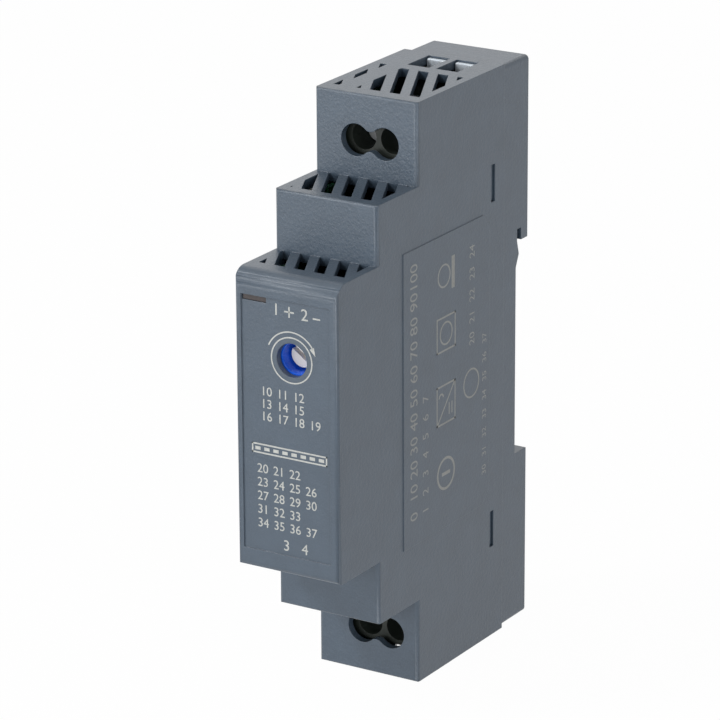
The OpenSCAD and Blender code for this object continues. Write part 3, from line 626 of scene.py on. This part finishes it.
class SUPPLY_OT_side_marks(bpy.types.Operator):
    """Print the generic marks of the side label"""
    bl_idname = "supply.side_marks"
    bl_label = "Side marks"

    def execute(self, context):
        s = context.scene.supply_marks
        line = s.line / MM
        d = Drawing("side_marks")
        for k in range(11):
            d.figure(str(k * 10), 20.9, 27.0 + k * 3.7, 2.9, 90)
        for k in range(7):
            d.figure(str(k + 1), 24.2, 27.0 + k * 2.9, 2.3, 90)
        d.frame(30.0, 42.0, 5.2, 6.0, line)
        d.line(27.4, 39.0, 32.6, 45.0, line)
        d.line(30.9, 40.2, 30.9, 41.8, line)
        d.line(31.7, 40.2, 31.7, 41.8, line)
        d.ring(28.6, 43.2, 0.6, line, 0, 180)
        d.frame(30.0, 53.0, 5.2, 5.2, line)
        d.ring(30.0, 53.0, 1.7, line)
        d.bar(32.0, 62.0, 0.9, 5.0)
        d.ring(29.4, 62.0, 1.7, line)
        d.ring(30.0, 31.0, 2.4, line * 1.5)
        d.bar(30.0, 31.0, 2.4, line * 2)
        d.ring(37.4, 43.0, 2.2, line)
        for k in range(5):
            d.figure(str(20 + k), 37.6, 50.0 + k * 3.4, 2.1, 90)
        for k in range(8):
            d.figure(str(30 + k), 41.3, 28.0 + k * 3.0, 1.7, 90)
        outer = cover_high.x - s.film + side_mark_proud
        d.print_on((outer, cover_low.y, 0), (math.pi / 2, 0, math.pi / 2),
                   s.film, ink("side_ink", shade(tuple(s.ink), 0.6)))
        return {"FINISHED"}


class SUPPLY_OT_stage(bpy.types.Operator):
    """Set the floor, the lamps and the camera"""
    bl_idname = "supply.stage"
    bl_label = "Stage"

    def execute(self, context):
        s = context.scene.supply_stage
        scene = context.scene
        bpy.ops.object.select_all(action="DESELECT")
        bpy.ops.mesh.primitive_plane_add(size=6, location=(0, 0, 0))
        floor = context.active_object
        floor.name = "floor"
        floor.data.materials.append(white_paper())
        scene.world = studio_air()
        middle = Vector((0, 0, cover_high.z / 2))
        for name, place, size, power in (
                ("key_lamp", (-0.65, -0.69, 0.95), (0.3, 0.3), 8.0),
                ("side_lamp", (1.3, -0.45, 0.35), (0.8, 0.9), 6.5),
                ("front_lamp", (-0.1, -0.6, 0.12), (0.8, 0.2), 2.2),
                ("rear_lamp", (-0.7, 1.1, 0.9), (0.8, 0.8), 1.5)):
            data = bpy.data.lights.new(name, "AREA")
            data.shape = "RECTANGLE"
            data.size, data.size_y = size
            data.energy = power
            lamp = bpy.data.objects.new(name, data)
            scene.collection.objects.link(lamp)
            lamp.location = place
            lamp.rotation_euler = (middle - Vector(place)).to_track_quat("-Z", "Y").to_euler()
        camera = bpy.data.objects.new("camera", bpy.data.cameras.new("camera"))
        scene.collection.objects.link(camera)
        camera.data.lens = s.lens
        camera.data.sensor_width = 36
        camera.data.clip_start = 0.01
        back = Vector((math.sin(s.azimuth) * math.cos(s.elevation),
                       -math.cos(s.azimuth) * math.cos(s.elevation), math.sin(s.elevation)))
        right = Vector((0, 0, 1)).cross(back).normalized()
        up = back.cross(right)
        tilted_right = right * math.cos(camera_roll) + up * math.sin(camera_roll)
        tilted_up = up * math.cos(camera_roll) - right * math.sin(camera_roll)
        turn = Matrix((tilted_right, tilted_up, back)).transposed().to_4x4()
        camera.matrix_world = Matrix.Translation(camera_target + back * s.distance) @ turn
        scene.camera = camera
        scene.view_settings.view_transform = "Standard"
        return {"FINISHED"}


def white_paper():
    """Pale floor that reads as white and keeps the soft shadow."""
    s = Shader("floor_paper")
    fibre = s.noise(4 * MM, 2, 0.5)
    tint = s.mix(fibre, (0.84, 0.84, 0.84), (0.86, 0.86, 0.86))
    s.finish(Base_Color=tint, Roughness=0.9)
    path = s.node("ShaderNodeLightPath", {}, {})
    sockets = path.socket.node.outputs
    seen = Field(s, sockets["Is Camera Ray"]) + Field(s, sockets["Is Glossy Ray"])
    glow = s.node("ShaderNodeEmission", {}, {"Color": (1, 1, 1), "Strength": 1.0})
    share = (seen + Field(s, sockets["Is Transmission Ray"]) > 0.5) * 0.98
    blend = s.node("ShaderNodeMixShader", {}, {0: share})
    s.tree.links.new(s.surface.outputs[0], blend.socket.node.inputs[1])
    s.tree.links.new(glow.socket, blend.socket.node.inputs[2])
    output = next(n for n in s.tree.nodes if n.type == "OUTPUT_MATERIAL")
    s.tree.links.new(blend.socket, output.inputs["Surface"])
    return s.material


def studio_air():
    """White behind the object, and soft grey light from all round."""
    world = bpy.data.worlds.new("studio")
    world.use_nodes = True
    tree = world.node_tree
    tree.nodes.clear()
    output = tree.nodes.new("ShaderNodeOutputWorld")
    background = tree.nodes.new("ShaderNodeBackground")
    path = tree.nodes.new("ShaderNodeLightPath")
    seen = path.outputs["Is Camera Ray"]
    for ray in ("Is Transmission Ray", "Is Glossy Ray"):
        both = tree.nodes.new("ShaderNodeMath")
        both.operation = "ADD"
        both.use_clamp = True
        tree.links.new(seen, both.inputs[0])
        tree.links.new(path.outputs[ray], both.inputs[1])
        seen = both.outputs[0]
    level = tree.nodes.new("ShaderNodeMapRange")
    level.inputs["To Min"].default_value = 0.25
    level.inputs["To Max"].default_value = 1.0
    tree.links.new(seen, level.inputs["Value"])
    tree.links.new(level.outputs[0], background.inputs["Strength"])
    background.inputs["Color"].default_value = (1, 1, 1, 1)
    tree.links.new(background.outputs[0], output.inputs["Surface"])
    return world


class SUPPLY_PT_panel(bpy.types.Panel):
    """Lists the settings and steps of the power supply"""
    bl_idname = "SUPPLY_PT_panel"
    bl_label = "Power Supply"
    bl_space_type = "VIEW_3D"
    bl_region_type = "UI"
    bl_category = "Power Supply"

    def draw(self, context):
        for group in (context.scene.supply_case, context.scene.supply_marks, context.scene.supply_stage):
            box = self.layout.box()
            for name in group.__annotations__:
                box.prop(group, name)
        for step in STEPS:
            self.layout.operator(step.bl_idname)


STEPS = (SUPPLY_OT_stage, SUPPLY_OT_case, SUPPLY_OT_terminals, SUPPLY_OT_adjuster,
         SUPPLY_OT_board, SUPPLY_OT_front_marks, SUPPLY_OT_side_marks)
GROUPS = {"supply_case": CaseSettings, "supply_marks": MarkSettings, "supply_stage": StageSettings}


def register():
    for group in GROUPS.values():
        bpy.utils.register_class(group)
    for name, group in GROUPS.items():
        setattr(bpy.types.Scene, name, bpy.props.PointerProperty(type=group))
    for step in (*STEPS, SUPPLY_PT_panel):
        bpy.utils.register_class(step)


def unregister():
    for step in reversed((*STEPS, SUPPLY_PT_panel)):
        bpy.utils.unregister_class(step)
    for name, group in GROUPS.items():
        delattr(bpy.types.Scene, name)
        bpy.utils.unregister_class(group)


def main():
    register()
    for step in STEPS:
        area, name = step.bl_idname.split(".")
        getattr(getattr(bpy.ops, area), name)()


if __name__ == "__main__":
    main()
